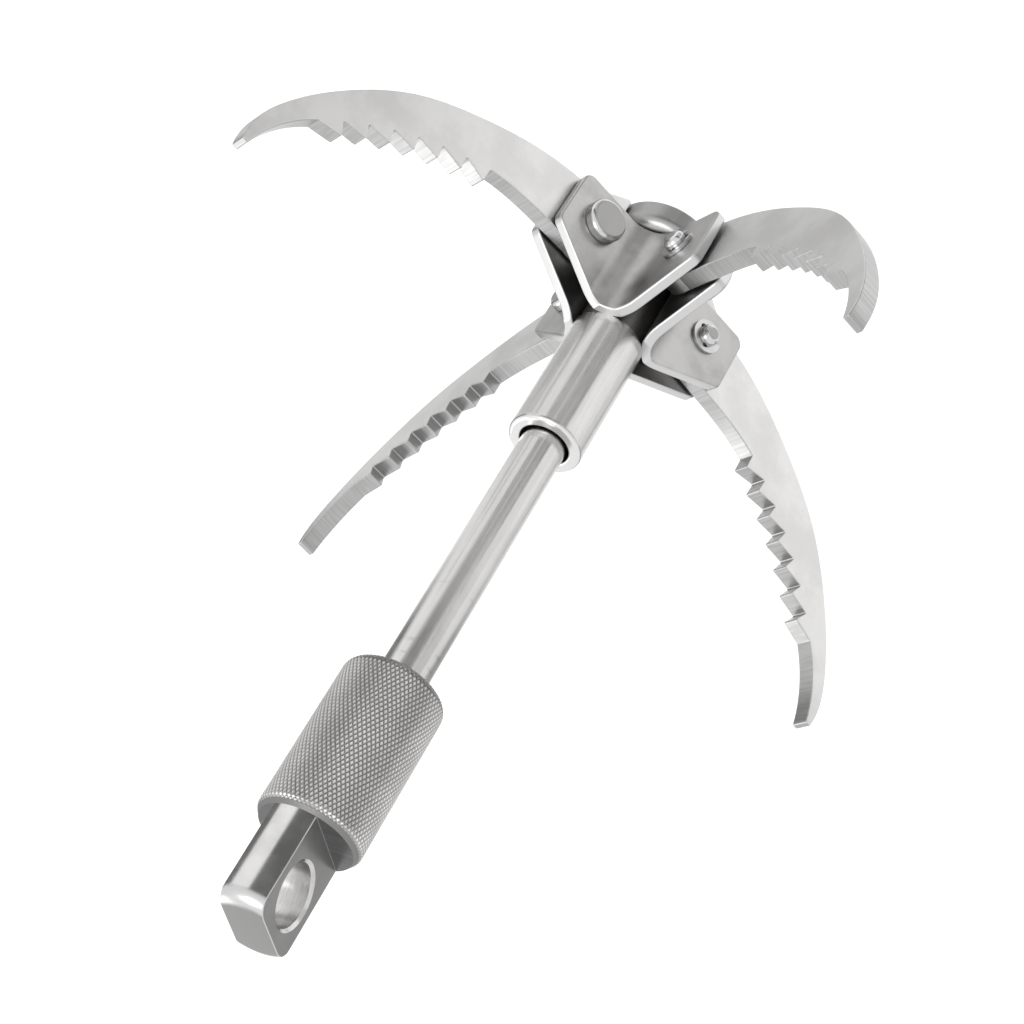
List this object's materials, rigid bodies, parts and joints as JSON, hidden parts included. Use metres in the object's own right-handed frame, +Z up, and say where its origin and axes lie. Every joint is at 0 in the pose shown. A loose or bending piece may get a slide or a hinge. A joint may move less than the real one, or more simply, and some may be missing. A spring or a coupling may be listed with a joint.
{
  "type": "grapnel anchor",
  "caption": "Folding grapnel anchor: knurled grip with a rope eye, a plain rod, and a sliding, swivelling head whose saw-toothed claws fold up along the rod.",
  "frame": {"origin": "middle of the rope eye, on the rod's axis", "axes": "+Z up along the rod from the head to the rope eye; claws open along +X, +Y, -X and -Y; the rope eye's axis lies 52 degrees from +X towards +Y"},
  "size_m": [0.2142, 0.2142, 0.2316],
  "materials": {
    "knurled_steel": "diamond-knurled stainless, satin",
    "turned_steel": "lathe-turned stainless, satin",
    "plate_steel": "folded stainless sheet, tumbled satin",
    "claw_steel": "cut stainless plate, tumbled satin",
    "polished_steel": "bright turned stainless",
    "spring_steel": "thin spring stainless, bright"
  },
  "bodies": {
    "handle": {"grip": "knurled_steel", "rod": "turned_steel", "end_screw": "polished_steel"},
    "swivel_disc": {"thrust_disc": "turned_steel"},
    "head": {"sleeve": "turned_steel", "bracket_1": "plate_steel", "bracket_2": "plate_steel", "bracket_3": "plate_steel", "bracket_4": "plate_steel", "claw_pin_1": "polished_steel", "claw_pin_2": "polished_steel", "claw_pin_3": "polished_steel", "claw_pin_4": "polished_steel", "pin_clip_1": "spring_steel", "pin_clip_2": "spring_steel", "pin_clip_3": "spring_steel", "pin_clip_4": "spring_steel"},
    "claw_1": {"claw_1": "claw_steel"},
    "claw_2": {"claw_2": "claw_steel"},
    "claw_3": {"claw_3": "claw_steel"},
    "claw_4": {"claw_4": "claw_steel"}
  },
  "joints": [
    {"name": "head_swivel", "type": "hinge", "parent": "handle", "child": "swivel_disc", "pos_m": [0, 0, -0.21295], "axis": [0, 0, 1], "continuous": true},
    {"name": "head_slide", "type": "slide", "parent": "swivel_disc", "child": "head", "axis": [0, 0, 1], "range_m": [0, 0.0805]},
    {"name": "claw_1_pivot", "type": "hinge", "parent": "head", "child": "claw_1", "pos_m": [0.02121, 0, -0.19905], "axis": [0, -1, 0], "range_deg": [0, 56]},
    {"name": "claw_2_pivot", "type": "hinge", "parent": "head", "child": "claw_2", "pos_m": [0, 0.02121, -0.19905], "axis": [1, 0, 0], "range_deg": [0, 56]},
    {"name": "claw_3_pivot", "type": "hinge", "parent": "head", "child": "claw_3", "pos_m": [-0.02121, 0, -0.19905], "axis": [0, 1, 0], "range_deg": [0, 56]},
    {"name": "claw_4_pivot", "type": "hinge", "parent": "head", "child": "claw_4", "pos_m": [0, -0.02121, -0.19905], "axis": [-1, 0, 0], "range_deg": [0, 56]}
  ]
}
